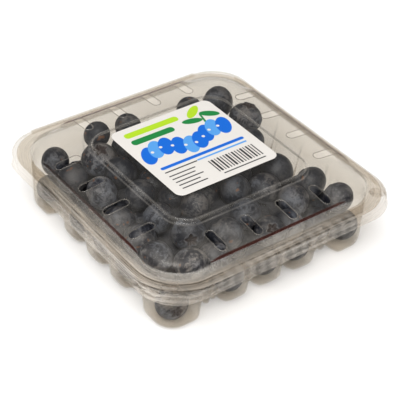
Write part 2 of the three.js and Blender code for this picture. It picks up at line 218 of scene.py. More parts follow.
# Places of the sheet's looks in millimetres, each as the two ends of a ramp. A point's reach is
# how far it lies outside the square between the centres of the crease's corners, so it is the
# same all along a side and round a corner.
BRIM_REACH, WALL_REACH = (16.8, 17.8), (LID_WALL_R + 0.1, LID_WALL_R + 0.3)
REFLECTION_REACH, LINE_REACH = (1.0, 12.0), LID_WALL_R + 0.05
LINE_OFF, LINE_ENDS = (0.3, 0.6), (1.0, 4.0)
RIB_FRONT, RIB_ENDS = (-58.2, -57.9), (34.0, 38.0)
FRONT_CORNER, LEFT_SKIRT = (-50.0, 10.0), (-58.0, -54.0)
DRAWN_THIN_AND_LIT = (13.0, 21.0)
# Looks on the plateau's short wall, two of them painted highlight lines: distance outside the
# plateau's edge, and half width.
STEP_FOOT, STEP_BROW, STEP_BAND = (1.0, 0.45), (-0.4, 0.45), (0.3, 0.9)

# How much of each look is added to the haze, and other strengths.
LIMB_HAZE, GROOVE_HAZE, BRIM_HAZE = 0.45, 0.14, 0.006
WALL_HAZE, STEP_HAZE, STEP_HIGHLIGHT_HAZE = 0.15, 0.004, 0.055
RIB_HAZE, REFLECTION_HAZE, REFLECTION_PATCHES, LINE_HAZE = 0.045, (0.010, 0.040), (0.15, 1.3), 0.10
BACK_SHARE, LEFT_LIGHT_GAIN = 0.10, 1.9  # of the front corner's haze, and of the rest of the rim's
GRAIN_ACROSS, GRAIN_ALONG = 16.0, 0.25
FINE_RELIEF, GROOVE_RELIEF = 0.05, 0.25
EDGE_POWER, EDGE_TINT = 3.4, 0.84
LID_EDGE_GLOSS, TRAY_EDGE_GLOSS = 0.4, 0.15

HAZE, GLOSS = rgb(0.82, 0.77, 0.70), rgb(1.0, 0.99, 0.97)
BRIM_BACK, BRIM_FRONT = rgb(0.945, 0.930, 0.905), rgb(0.905, 0.885, 0.862)
CREASE_SHADE_TINT, CREASE_SHADE_COLOUR = rgb(0.20, 0.07, 0.055), rgb(0.20, 0.075, 0.06)
CLEAR = rgb(1.0, 1.0, 1.0)


def clear_sheet(name, tint, haze, gloss, limb, crease=False):
    """Clear thermoformed sheet: tinted see-through, with haze and gloss that grow at an angle.

    The lower limb is, the wider the pale outline of a curved wall. With crease it has the lid's
    looks, among them painted reflection, highlights and shade.
    """
    n = Nodes(name)
    place = n.place()
    x, y, z = n.axes(place)
    across, along = n.math("ABSOLUTE", x), n.math("ABSOLUTE", y)
    cx, cy = n.beyond(across, along, CREASE - LID_WALL_R)
    reach = n.length(cx, cy)
    # Fine grooves run along the rim, so their noise is stretched along its sides.
    grain = n.add("ShaderNodeCombineXYZ")
    n.put(grain.inputs[0], n.math("MULTIPLY", reach, GRAIN_ACROSS))
    n.put(grain.inputs[1], n.math("MULTIPLY", n.math("ADD", x, y), GRAIN_ALONG))
    n.put(grain.inputs[2], n.math("MULTIPLY", z, GRAIN_ACROSS))
    groove = n.ramp(n.noise(grain.outputs[0], 90.0, 4.0, 0.6), 0.46, 0.58)
    rim = n.band(reach, BRIM_REACH)
    streak = n.ramp(n.noise(place, 60.0, 4.0), 0.45, 0.75)
    wave = n.noise(place, 90.0, 1.5)
    fine = n.noise(place, 420.0, 2.0)
    height = n.math("MULTIPLY_ADD", fine, FINE_RELIEF, wave)
    height = n.math("MULTIPLY_ADD", n.math("MULTIPLY", groove, rim), GROOVE_RELIEF, height)
    normal = n.bump(height, 0.0003, 0.08)
    weight = n.add("ShaderNodeLayerWeight")
    weight.inputs["Blend"].default_value = 0.5
    n.put(weight.inputs["Normal"], normal)
    facing = weight.outputs["Facing"]
    edge = n.math("POWER", facing, EDGE_POWER)
    milky = n.math("MULTIPLY_ADD", streak, haze, haze * 0.4)
    milky = n.math("MULTIPLY_ADD", n.math("POWER", facing, limb), LIMB_HAZE, milky)
    # Painted light: the haze is heavier towards the front corner, and the rim's on its left side.
    front = n.band(n.math("ADD", n.math("MULTIPLY", x, 0.4), y), FRONT_CORNER, 1.0, BACK_SHARE)
    rim_haze = n.math("MULTIPLY", rim, n.math("MULTIPLY_ADD", groove, GROOVE_HAZE, BRIM_HAZE))
    rim_haze = n.math("MULTIPLY", rim_haze, n.band(x, LEFT_SKIRT, LEFT_LIGHT_GAIN, 1.0))
    milky = n.math("MULTIPLY_ADD", rim_haze, n.math("MULTIPLY_ADD", front, 0.7, 0.3), milky)

    see = n.add("ShaderNodeBsdfTransparent")
    colour = n.mix(edge, rgb(*tint), rgb(*(c * EDGE_TINT for c in tint)))
    haze_colour = HAZE
    if crease:
        colour = n.mix(rim, colour, n.mix(front, BRIM_BACK, BRIM_FRONT))
        # The drawn walls are hazier: the low one outside the crease and the plateau's short one,
        # which has paler lines along its top edge and its foot, painted highlights.
        wall = n.math("MULTIPLY", n.band(reach, WALL_REACH), n.math("SUBTRACT", 1.0, rim))
        step = n.length(*n.beyond(across, along, PLATEAU - PLATEAU_R))
        foot, brow, band = (
            n.band(n.math("ABSOLUTE", n.math("SUBTRACT", step, (PLATEAU_R + at) * MM)),
                   (0.3 * wide, wide), 1.0, 0.0)
            for at, wide in (STEP_FOOT, STEP_BROW, STEP_BAND))
        wall = n.math("MULTIPLY", wall, front)
        drawn = n.math("MULTIPLY_ADD", band, STEP_HAZE, n.math("MULTIPLY", wall, WALL_HAZE))
        drawn = n.math("MULTIPLY_ADD", n.math("MAXIMUM", foot, brow), STEP_HIGHLIGHT_HAZE, drawn)
        milky = n.math("MULTIPLY_ADD", drawn, n.math("MULTIPLY_ADD", streak, 0.6, 0.6), milky)
        # Small square ribs along the front of the rim.
        rib = n.math("SINE", n.math("MULTIPLY", x, 2 * math.pi / (RIB_PITCH * MM)))
        rib = n.math("MULTIPLY", n.ramp(rib, -0.2, 0.2), n.band(y, RIB_FRONT, 1.0, 0.0))
        rib = n.math("MULTIPLY", rib, n.band(across, RIB_ENDS, 1.0, 0.0))
        milky = n.math("MULTIPLY_ADD", rib, RIB_HAZE, milky)
        # A patchy veil on the upper face, thicker towards the crease: painted reflection.
        high = n.math("GREATER_THAN", z, UPPER_FACE_Z * MM)
        reflection_veil = n.math("MULTIPLY", n.band(reach, REFLECTION_REACH, *REFLECTION_HAZE), high)
        reflection_veil = n.math("MULTIPLY", reflection_veil, front)
        patchy = n.ramp(n.noise(place, 85.0, 3.0, 0.6), 0.38, 0.64, *REFLECTION_PATCHES)
        milky = n.math("MULTIPLY_ADD", reflection_veil, patchy, milky)
        # Painted shade: the crease's dark line, along the sides and not round the corners.
        off = n.math("ABSOLUTE", n.math("SUBTRACT", reach, LINE_REACH * MM))
        side = n.band(n.math("MINIMUM", cx, cy), LINE_ENDS, 1.0, 0.0)
        line = n.math("MULTIPLY", n.band(off, LINE_OFF, 1.0, 0.0), n.math("MULTIPLY", high, side))
        colour = n.mix(n.math("MULTIPLY", line, 0.85), colour, CREASE_SHADE_TINT)
        line = n.math("MULTIPLY", line, front)
        milky = n.math("MULTIPLY_ADD", line, LINE_HAZE, milky)
        haze_colour = n.mix(line, haze_colour, CREASE_SHADE_COLOUR)
    else:
        # Lower down, where the sheet is drawn further, it is thinner and clearer, and painted
        # clearer still, as light that lifts the shade of the floor seen through it.
        colour = n.mix(n.band(z, DRAWN_THIN_AND_LIT, 0.45, 0.0), colour, CLEAR)
    n.put(see.inputs["Color"], colour)

    shine = n.add("ShaderNodeBsdfGlossy")
    shine.inputs["Color"].default_value = GLOSS
    shine.inputs["Roughness"].default_value = 0.15
    n.put(shine.inputs["Normal"], normal)
    cloud = n.add("ShaderNodeBsdfDiffuse")
    n.put(cloud.inputs["Color"], haze_colour)
    n.put(cloud.inputs["Normal"], normal)

    first = n.add("ShaderNodeMixShader")
    edge_gloss = LID_EDGE_GLOSS if crease else TRAY_EDGE_GLOSS
    n.put(first.inputs[0], n.math("MULTIPLY_ADD", edge, edge_gloss, gloss, clamp=True))
    n.put(first.inputs[1], see.outputs[0])
    n.put(first.inputs[2], shine.outputs[0])
    second = n.add("ShaderNodeMixShader")
    n.put(second.inputs[0], milky)
    n.put(second.inputs[1], first.outputs[0])
    n.put(second.inputs[2], cloud.outputs[0])
    return n.finish(second.outputs[0])


SKIN_DARK, SKIN_PALE = rgb(0.007, 0.008, 0.012), rgb(0.012, 0.012, 0.017)
BLOOM_BLUE, BLOOM_WARM = rgb(0.148, 0.158, 0.180), rgb(0.172, 0.156, 0.142)
FLECK_BROWN, CROWN_BROWN = rgb(0.12, 0.05, 0.02), rgb(0.020, 0.012, 0.010)
SHADE_DARK, SHADE_PALE = rgb(0.004, 0.004, 0.006), rgb(0.012, 0.012, 0.016)
BLOOM_COVER = (0.465, 0.560)  # noise values between which the bloom thickens


def berry_skin():
    """Dark berry skin under a dusty bloom, with a dry brown crown."""
    n = Nodes("berry_skin")
    place = n.place()
    # Each berry's random dust, with painted light towards the front corner and painted shadow under
    # the label.
    dust_and_light = n.add("ShaderNodeAttribute", attribute_name="dust_and_light").outputs["Fac"]
    crown = n.add("ShaderNodeAttribute", attribute_name="crown").outputs["Fac"]
    patch = n.noise(place, 120.0, 3.0, 0.6, 1.0)
    rub = n.noise(place, 380.0, 5.0, 0.75, 1.5)
    speck = n.ramp(n.noise(place, 1300.0, 3.0, 0.6, 0.6), 0.40, 0.60)
    warm = n.ramp(n.noise(place, 75.0, 2.0), 0.40, 0.58)
    cover = n.math("MULTIPLY_ADD", patch, 0.5, n.math("MULTIPLY", rub, 0.5))
    dust = n.ramp(cover, *BLOOM_COVER)
    dust = n.math("MULTIPLY", dust, n.math("MULTIPLY_ADD", dust_and_light, 0.95, 0.20), clamp=True)
    dust = n.math("MULTIPLY", dust, n.math("MULTIPLY_ADD", speck, 0.22, 0.70))
    # The lip of the crown is dustier than the skin round it.
    lip = n.math("MULTIPLY", n.ramp(crown, 0.10, 0.35), n.ramp(crown, 0.50, 0.80, 1.0, 0.0))
    dust = n.math("MULTIPLY_ADD", lip, 0.25, dust, clamp=True)
    skin = n.mix(dust_and_light, SKIN_DARK, SKIN_PALE)
    bloom = n.mix(warm, BLOOM_BLUE, BLOOM_WARM)
    colour = n.mix(dust, skin, bloom)
    fleck = n.ramp(n.noise(place, 330.0, 1.0), 0.72, 0.75)
    colour = n.mix(n.math("MULTIPLY", fleck, 0.7), colour, FLECK_BROWN)
    colour = n.mix(n.math("POWER", crown, 1.6), colour, CROWN_BROWN)
    shader = n.add("ShaderNodeBsdfPrincipled")
    n.put(shader.inputs["Base Color"], colour)
    n.put(shader.inputs["Roughness"], n.ramp(dust, 0.0, 0.9, 0.45, 0.75))
    shader.inputs["Specular IOR Level"].default_value = 0.28
    n.put(shader.inputs["Normal"], n.bump(rub, 0.00012, 0.4))
    return n.finish(shader.outputs[0])


def heap_shade():
    """Painted shade: the dim inside of the heap, behind the berries."""
    n = Nodes("heap_shade")
    patch = n.noise(n.place(), 130.0, 4.0, 0.6)
    shader = n.add("ShaderNodeBsdfPrincipled")
    n.put(shader.inputs["Base Color"], n.mix(patch, SHADE_DARK, SHADE_PALE))
    shader.inputs["Roughness"].default_value = 0.85
    n.put(shader.inputs["Normal"], n.bump(patch, 0.002))
    return n.finish(shader.outputs[0])


LIME, LEAF = rgb(0.40, 0.62, 0.02), rgb(0.010, 0.20, 0.045)
BLUE, PALE_BLUE = rgb(0.004, 0.125, 0.58), rgb(0.085, 0.31, 0.70)
INK, PAPER, PAPER_FIBRE = rgb(0.012, 0.012, 0.014), rgb(0.70, 0.67, 0.63), rgb(0.66, 0.63, 0.59)

# The print: shapes in label millimetres from its middle, painted in this order. Each is
# (kind, x, y, half width, half height, turn in degrees, colour).
PRINT = [
    ("bar", -7.4, 20.4, 13.8, 1.8, 0, LIME),
    ("bar", -10.4, 14.8, 10.8, 1.8, 0, LEAF),
    ("oval", 14.6, 20.6, 5.2, 2.1, 38, LIME),
    ("oval", 20.2, 15.8, 4.6, 2.0, -32, LEAF),
    ("oval", 10.4, 15.0, 4.8, 1.9, -14, LEAF),
    ("bar", 15.4, 13.4, 0.5, 4.4, -12, LEAF),
]


def row_height(step):
    """Height of the wavy row of ovals."""
    return 3.8 + 2.6 * math.sin(step * 1.1)


PRINT += [("oval", -20.0 + 5.0 * step, row_height(step), 3.4, 6.2, -24,
           (BLUE, PALE_BLUE, BLUE)[step % 3]) for step in range(9)]
PRINT += [("oval", -17.5 + 5.0 * step, row_height(step + 0.5), 0.75, 0.75, 0, PAPER)
          for step in range(8)]
PRINT += [
    ("bar", 0.0, -6.6, 21.5, 0.9, 0, BLUE),
    ("bar", 8.0, -9.4, 13.0, 0.5, 0, PALE_BLUE),
    ("bar", -13.4, -9.6, 8.2, 0.35, 0, INK),
]
PRINT += [("bar", -15.0 + shift, -12.6 - 2.3 * row, 6.6 + shift, 0.32, 0, INK)
          for row, shift in enumerate((0.0, -0.8, 0.4, -1.2, -0.2))]
PRINT += [("bar", -1.6 + 1.5 * step, -16.6, (0.3, 0.52, 0.24, 0.44, 0.28)[step % 5], 4.3, 0, INK)
          for step in range(16)]
PRINT.append(("bar", 10.0, -22.6, 11.0, 0.32, 0, INK))
BAR_ROUND, PRINT_SOFT = 0.9, 0.06  # a bar's corners, as a share; the softness of an edge


def label_paper(name, shapes):
    """Coated paper with a print of bars and ovals."""
    n = Nodes(name)
    place = n.place()
    x, y, _ = n.axes(place)
    x = n.math("MULTIPLY_ADD", x, 1 / MM, -LABEL_X)
    y = n.math("MULTIPLY_ADD", y, 1 / MM, -LABEL_Y)
    fibre = n.noise(place, 1400.0, 3.0)
    colour = n.mix(n.math("MULTIPLY", fibre, 0.35), PAPER, PAPER_FIBRE)
    for kind, cx, cy, hw, hh, turn, ink in shapes:
        c, s = math.cos(math.radians(turn)), math.sin(math.radians(turn))
        dx, dy = n.math("SUBTRACT", x, cx), n.math("SUBTRACT", y, cy)
        u = n.math("MULTIPLY_ADD", dx, c, n.math("MULTIPLY", dy, s))
        v = n.math("MULTIPLY_ADD", dy, c, n.math("MULTIPLY", dx, -s))
        if kind == "bar":
            r, soft = min(hw, hh) * BAR_ROUND, PRINT_SOFT
            a = n.math("MAXIMUM", n.math("SUBTRACT", n.math("ABSOLUTE", u), hw - r), 0.0)
            b = n.math("MAXIMUM", n.math("SUBTRACT", n.math("ABSOLUTE", v), hh - r), 0.0)
        else:
            r, soft = 1, PRINT_SOFT / hh
            a, b = n.math("DIVIDE", u, hw), n.math("DIVIDE", v, hh)
        mask = n.ramp(n.length(a, b), r - soft, r + soft, 1.0, 0.0)
        colour = n.mix(mask, colour, ink)
    shader = n.add("ShaderNodeBsdfPrincipled")
    n.put(shader.inputs["Base Color"], colour)
    n.put(shader.inputs["Roughness"], n.ramp(fibre, 0.3, 0.7, 0.38, 0.5))
    n.put(shader.inputs["Normal"], n.bump(n.noise(place, 60.0, 2.0), 0.0008, 0.3))
    return n.finish(shader.outputs[0])


# Tint, haze, gloss and limb of each sheet.
lid_sheet = clear_sheet("lid_sheet", (0.985, 0.982, 0.975), 0.004, 0.012, 6.0, crease=True)
tray_sheet = clear_sheet("tray_sheet", (0.872, 0.842, 0.796), 0.003, 0.015, 8.0)
# The slot rims' dark tint and haze are painted shade and painted highlight, for the dark and pale
# outlines their rolled edge shows.
rolled_edge = clear_sheet("rolled_edge", (0.60, 0.58, 0.55), 0.18, 0.05, 6.0)
skin_material = berry_skin()
shade_material = heap_shade()
paper_material = label_paper("label_paper", PRINT)
paper_back = label_paper("label_back", [])

# ---------------------------------------------------------------- camera
AZIMUTH, ELEVATION, ROLL = (math.radians(a) for a in (-38.87, 37.65, 3.53))
DISTANCE, FOCAL_PX = 510.83, 1249.57
AIM = Vector((-11.86, -17.67, 28.0))

back = Vector((math.sin(AZIMUTH) * math.cos(ELEVATION),
               -math.cos(AZIMUTH) * math.cos(ELEVATION), math.sin(ELEVATION)))
level = Vector((math.cos(AZIMUTH), math.sin(AZIMUTH), 0))
upright = back.cross(level)
right = level * math.cos(ROLL) + upright * math.sin(ROLL)
up = upright * math.cos(ROLL) - level * math.sin(ROLL)

camera_data = bpy.data.cameras.new("camera")
camera_data.sensor_width = 36.0
camera_data.lens = FOCAL_PX / PICTURE_PX * camera_data.sensor_width
camera_data.clip_start = 0.01
camera_data.clip_end = 20.0
camera = bpy.data.objects.new("camera", camera_data)
turn = Matrix((right, up, back)).transposed().to_4x4()
camera.matrix_world = Matrix.Translation((AIM + back * DISTANCE) * MM) @ turn
bpy.context.scene.collection.objects.link(camera)
bpy.context.scene.camera = camera


# ---------------------------------------------------------------- shells through rings
def outline(ring, stations, form):
    """One rounded-square ring of points. form(s) gives a station's (inset, rise, corner) shares."""
    hx, hy, r, z = ring["hx"], ring.get("hy", ring["hx"]), ring["r"], ring["z"]
    flute, lift, drop = ring.get("flute", 0), ring.get("lift", 0), ring.get("drop", 0)
    widest = stations[-1] + 0.05
    points = []
    for side in range(4):
        across, along = (hy, hx) if side % 2 == 0 else (hx, hy)
        c, s = round(math.cos(side * math.pi / 2)), round(math.sin(side * math.pi / 2))
        squeeze = min((along - r) / widest, 1.0)
        flat = []
        for at in stations:
            inset, rise, corner = form(at)
            flat.append((at * squeeze, across - flute * inset, z + lift * rise - drop * corner))
        for k in range(CORNER_STEPS + 1):
            a = k / CORNER_STEPS * math.pi / 2
            flat.append((along - r + r * math.sin(a), across - r + r * math.cos(a), z - drop))
        points += [(c * p + s * q, s * p - c * q, h) for p, q, h in flat]
    return points


def rings_of_quads(rows, count):
    """Faces between rows of points that each close on themselves."""
    return [(j * count + i, j * count + (i + 1) % count,
             (j + 1) * count + (i + 1) % count, (j + 1) * count + i)
            for j in range(rows - 1) for i in range(count)]


def shell(name, rings, stations, form, material, cap_z):
    """A surface through rings from its middle outward, closed there by a point at cap_z."""
    rows = [outline(ring, stations, form) for ring in rings]
    count = len(rows[0])
    vertices = [point for row in rows for point in row]
    faces = rings_of_quads(len(rows), count)
    vertices.append((0, 0, cap_z))
    faces += [(len(vertices) - 1, (i + 1) % count, i) for i in range(count)]
    return make_object(name, vertices, faces, material)


def smooth_but_sharp(obj, degrees):
    """Smooth shading with hard edges where faces turn more than an angle."""
    obj.data.polygons.foreach_set("use_smooth", [True] * len(obj.data.polygons))
    obj.data.set_sharp_from_angle(angle=math.radians(degrees))


def thicken(obj):
    """Gives a surface the sheet's thickness, on the side away from its normals."""
    solid = obj.modifiers.new("sheet", "SOLIDIFY")
    solid.thickness = SKIN * MM
    solid.offset = -1.0
    apply_modifiers(obj)
    smooth_but_sharp(obj, 50)


# ---------------------------------------------------------------- tray
def flute_share(s):
    """The flute's depth at a station, as a share, before its corners are rounded."""
    past = abs(s)
    lobe = min(past, abs(past - LOBE_PITCH))
    nose = share(lobe, LOBE_HALF - 2.0, LOBE_HALF) * 0.1
    flank = share(lobe, LOBE_HALF, LOBE_HALF + 2.3) * 0.9
    pod = share(past, POD_AT - POD_R - 0.3, POD_AT - POD_R + 2.6)
    return (nose + flank) * (1 - pod)


def tray_form(s):
    """A station's (inset, rise, corner) shares: feet, flutes with bumps, and corner feet."""
    inset = sum(flute_share(s + 0.2 * k) for k in range(-3, 4)) / 7
    past = abs(s)
    bumps = INNER_BUMPS if past < LOBE_PITCH else OUTER_BUMPS
    inset -= sum(depth * bump(past, at, wide) for at, wide, depth in bumps)
    inset = max(inset, 0.0)
    corner = smooth(past, POD_AT - POD_R + 0.6, POD_AT - POD_R * 0.5)
    return inset, smooth(inset, 0.35, 0.95), corner


def tray_rings():
    lift = FLOOR_Z - FOOT_Z
    rings = [{"hx": h, "r": 0.4, "z": FLOOR_Z} for h in (12, 24, 34)]
    rings.append({"hx": FLOOR_HALF, "r": 0.6, "z": FLOOR_Z - 0.1})
    # (half width, corner radius, height, share of the flute, share of the corner's drop)
    foot = [
        (39.2, 1.5, FOOT_Z + 1.6, 0.0, 0.35), (40.6, 2.3, FOOT_Z + 0.6, 0.0, 0.75),
        (42.0, 3.0, FOOT_Z + 0.1, 0.05, 0.95), (45.5, 5.0, FOOT_Z, 0.45, 1.0),
        (48.4, 5.9, FOOT_Z, 0.85, 1.0), (50.0, 6.7, FOOT_Z + 0.15, 1.0, 1.0),
        (51.4, 7.7, FOOT_Z + 0.75, 1.0, 1.0), (52.4, 8.5, FOOT_Z + 1.75, 1.0, 0.9),
        (53.0, 9.1, FOOT_Z + 3.1, 1.0, 0.6), (53.2, 9.5, FOOT_Z + 4.6, 1.0, 0.2),
    ]
    for half, radius, z, flute, drop in foot:
        up_share = share(z, FOOT_Z + 4.6, FOOT_Z)
        rings.append({"hx": half, "r": radius, "z": z, "flute": FLUTE_FOOT * flute,
                      "lift": lift * up_share * min(flute * 1.4, 1.0), "drop": FOOT_Z * drop})
    for z in (8.5, 11.5, 14.5, 17.5, 20.0, 22.0, 23.6, 24.8):
        t = share(z, FLUTE_LOW, FLUTE_HIGH)
        fade = 1 - smooth(z, *FLUTE_FADE)
        rings.append({"hx": FOOT_HALF + 1.55 * t, "r": POD_R + (TRAY_TOP_R - 1 - POD_R) * t, "z": z,
                      "flute": (FLUTE_FOOT + (FLUTE_TOP - FLUTE_FOOT) * t) * (0.15 + 0.85 * fade)})
    rings += [
        {"hx": TRAY_TOP - 0.1, "r": TRAY_TOP_R - 0.1, "z": 25.8},
        {"hx": TRAY_TOP + 0.05, "r": TRAY_TOP_R, "z": 26.6},
        {"hx": TRAY_TOP + 0.5, "r": TRAY_TOP_R + 0.5, "z": FLANGE_TOP - 0.1},
        {"hx": TRAY_TOP + 1.2, "r": TRAY_TOP_R + 1.2, "z": FLANGE_TOP},
    ]
    # The flat flange and its groove, a little deeper along Y than the tray: half width, share
    # of the extra half depth, corner radius, and depth below the flange's top.
    extra = BRIM_Y - BRIM_X
    for half, part, radius, down in (
            (57.6, 0.5, 17.6, 0.0), (58.0, 0.6, 18.0, FLANGE_GROOVE),
            (58.6, 0.7, 18.4, FLANGE_GROOVE), (59.0, 0.8, 18.7, 0.0), (60.1, 1.0, 19.5, 0.0)):
        rings.append({"hx": half, "hy": half + extra * part, "r": radius, "z": FLANGE_TOP - down})
    return rings


tray_stations = [-39.0 + 0.5 * k for k in range(157)]
tray = shell("tray_clear", tray_rings(), tray_stations, tray_form, tray_sheet, FLOOR_Z)
thicken(tray)
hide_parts("tray")
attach(tray, "base")

# ---------------------------------------------------------------- lid
# The lid's upper face from the middle outward: half width, corner radius, height above the
# brim, extra half depth along Y, and how far the corners sag.
LID_RINGS = [
    (12, 3, 8.5, 0, 0), (24, 6, 8.5, 0, 0), (33.2, 8.4, 8.5, 0, 0), (34.3, 9.3, 8.46, 0, 0),
    (34.8, 9.8, 8.2, 0, 0), (35.05, 10.05, 7.7, 0, 0), (35.25, 10.25, 7.0, 0, 0),
    (35.55, 10.5, 6.6, 0, 0), (36.2, 11.0, 6.42, 0, 0), (38.5, 12.0, 6.36, 0, 0),
    (42, 13, 6.32, 0, 0), (45, 14, 6.25, 0, 0.15), (48, 15, 6.06, 0, 0.45),
    (50.4, 15.4, 5.7, 0, 0.9), (52.2, 15.6, 5.2, 0, 1.4), (53.4, 15.8, 4.75, 0, 1.7),
    (54.2, 15.95, 4.5, 0, 1.75), (54.62, 16, 4.2, 0, 1.5), (54.9, 16, 3.4, 0, 0.9),
    (55.15, 16, 2.4, 0, 0.4), (55.4, 16, 1.2, 0, 0.1), (55.6, 16, 0.35, 0, 0),
    (56.0, 16, 0.06, 0, 0), (57.4, 16.2, 0, 0.4, 0), (59.2, 16.4, 0, 0.9, 0),
    (60.2, 16.5, 0, 1.2, 0), (60.7, 16.9, -0.2, 1.2, 0), (60.95, 17.1, -0.6, 1.2, 0),
    (61.05, 17.2, -1.2, 1.2, 0), (60.95, 17.2, -1.5, 1.2, 0), (61.2, 17.4, -1.9, 1.2, 0),
    (61.4, 17.5, -3.2, 1.2, 0), (61.5, 17.6, -3.9, 1.2, 0), (61.8, 17.8, -4.7, 1.2, 0),
]


def lid_form(s):
    """A station's (inset, rise, corner) shares: only the sag towards the corners."""
    return 0.0, 0.0, smooth(abs(s), 30.0, 38.0)


def lid_height(reach):
    """Height of the lid's upper face at a half width along one of its sides."""
    for (h0, _, z0, _, _), (h1, _, z1, _, _) in zip(LID_RINGS, LID_RINGS[1:]):
        if h0 <= reach <= h1:
            return BRIM_Z + z0 + (z1 - z0) * (reach - h0) / (h1 - h0)
    return BRIM_Z


def slot_outline(at, side, half_width, half_length, steps=8):
    """Points round one slot, in plan."""
    c, s = round(math.cos(side * math.pi / 2)), round(math.sin(side * math.pi / 2))
    straight = half_length - half_width
    points = []
    for end in (1, -1):
        for k in range(steps + 1):
            a = math.pi * k / steps + (0 if end == 1 else math.pi)
            x = at + half_width * math.cos(a)
            y = -SLOT_MIDDLE + end * straight + half_width * math.sin(a)
            points.append((c * x - s * y, s * x + c * y))
    return points


def all_slots():
    return [(at, side) for side in range(4) for at in SLOT_AT]


def lid_cutter():
    """What the lid is cut by: its slots, and a box where the skirt ends at the hinge."""
    vertices, faces = [], []
    for at, side in all_slots():
        loop = slot_outline(at, side, SLOT_WIDTH / 2, SLOT_LENGTH / 2)
        first, count = len(vertices), len(loop)
        vertices += [(x, y, BRIM_Z + 2) for x, y in loop] + [(x, y, BRIM_Z + 9) for x, y in loop]
        faces += [(first + i, first + (i + 1) % count, first + count + (i + 1) % count,
                   first + count + i) for i in range(count)]
        faces.append(tuple(first + i for i in reversed(range(count))))
        faces.append(tuple(first + count + i for i in range(count)))
    first = len(vertices)
    corners = [(-OUTSIDE, HINGE_CUT_Y), (OUTSIDE, HINGE_CUT_Y), (OUTSIDE, OUTSIDE),
               (-OUTSIDE, OUTSIDE)]
    vertices += [(x, y, z) for z in (HINGE_CUT_LOW, BRIM_Z - 1.0) for x, y in corners]
    faces += [tuple(first + i for i in face) for face in (
        (3, 2, 1, 0), (4, 5, 6, 7), (0, 1, 5, 4), (1, 2, 6, 5), (2, 3, 7, 6), (3, 0, 4, 7))]
    return make_object("cutter", vertices, faces, lid_sheet, False)


def make_lid():
    rings = [{"hx": h, "hy": h + extra, "r": r, "z": BRIM_Z + z, "drop": sag}
             for h, r, z, extra, sag in LID_RINGS]
    lid_stations = [-38.0 + 2.0 * k for k in range(39)]
    lid = shell("lid_clear", rings, lid_stations, lid_form, lid_sheet, BRIM_Z + PLATEAU_RISE)
    lid.data.flip_normals()
    thicken(lid)
    cutter = lid_cutter()
    cut = lid.modifiers.new("slots", "BOOLEAN")
    cut.object = cutter
    cut.operation = "DIFFERENCE"
    cut.solver = "EXACT"
    apply_modifiers(lid)
    smooth_but_sharp(lid, 40)
    bpy.data.objects.remove(cutter)
    return lid


def tube(path, radius, sides=8):
    """Vertices and faces of a closed tube along a closed path of points."""
    vertices, faces = [], []
    count = len(path)
    for i, point in enumerate(path):
        ahead = Vector(path[(i + 1) % count]) - Vector(path[i - 1])
        across = ahead.cross(Vector((0, 0, 1))).normalized()
        over = across.cross(ahead).normalized()
        for k in range(sides):
            a = 2 * math.pi * k / sides
            out = math.cos(a) * across + math.sin(a) * over
            vertices.append(tuple(Vector(point) + radius * out))
    for i in range(count):
        for k in range(sides):
            a, b = i * sides + k, i * sides + (k + 1) % sides
            c, d = (i + 1) % count * sides + (k + 1) % sides, (i + 1) % count * sides + k
            faces.append((a, b, c, d))
    return vertices, faces


# A snap button from its foot to its dished top: radius and height over the brim.
BUTTON_ROWS = [(3.3, 0.0), (3.0, 0.26), (2.5, 0.46), (1.9, 0.54), (1.2, 0.46), (0.5, 0.42)]
BUTTON_SEGMENTS = 28


def lid_trim():
    """Rolled rims round the slots and the snap buttons on the front corners."""
    vertices, faces = [], []

    def put(part_vertices, part_faces):
        first = len(vertices)
        vertices.extend(part_vertices)
        faces.extend(tuple(first + i for i in face) for face in part_faces)

    for at, side in all_slots():
        path = []
        for x, y in slot_outline(at, side, SLOT_WIDTH / 2 + SLOT_RIM_OUT,
                                 SLOT_LENGTH / 2 + SLOT_RIM_OUT):
            path.append((x, y, lid_height(max(abs(x), abs(y))) + 0.02))
        put(*tube(path, SLOT_RIM_R))
    rims = len(faces)
    count = BUTTON_SEGMENTS
    for sign in (-1, 1):
        part = [(sign * BUTTON_AT[0] + r * math.cos(2 * math.pi * k / count),
                 BUTTON_AT[1] + r * math.sin(2 * math.pi * k / count), BRIM_Z + h)
                for r, h in BUTTON_ROWS for k in range(count)]
        quads = rings_of_quads(len(BUTTON_ROWS), count)
        quads.append(tuple((len(BUTTON_ROWS) - 1) * count + k for k in range(count)))
        quads.append(tuple(reversed(range(count))))
        put(part, quads)
    trim = make_object("lid_trim", vertices, faces, rolled_edge)
    trim.data.materials.append(lid_sheet)
    for face in trim.data.polygons[rims:]:
        face.material_index = 1
    return trim


lid = make_lid()
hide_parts("lid")
trim = lid_trim()
for piece in (lid, trim):
    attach(piece, "cover")

# ---------------------------------------------------------------- hinge fold
# A thin strip of the same sheet from the tray's flange round the fold to the lid's brim: Y, Z.
FOLD = [(61.0, 26.86), (61.9, 26.82), (62.5, 26.86), (62.86, 27.06), (62.98, 27.35),
        (62.86, 27.64), (62.5, 27.82), (61.9, 27.86), (61.2, 27.82)]


def make_hinge_fold():
    count = len(FOLD)
    vertices = [(-HINGE_HALF_WIDTH + 2 * HINGE_HALF_WIDTH * i / HINGE_STEPS, y, z)
                for i in range(HINGE_STEPS + 1) for y, z in FOLD]
    faces = [(i * count + k, i * count + k + 1, (i + 1) * count + k + 1, (i + 1) * count + k)
             for i in range(HINGE_STEPS) for k in range(count - 1)]
    return make_object("hinge_fold", vertices, faces, tray_sheet)


hinge = make_hinge_fold()
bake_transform(hinge)

# ---------------------------------------------------------------- label
# The label from its foot to its top: share of its outline, and height over the plateau.
LABEL_ROWS = [(1.0, 0.02), (1.0, 0.12), (0.997, LABEL_T), (0.9, LABEL_T), (0.6, LABEL_T),
              (0.3, LABEL_T)]


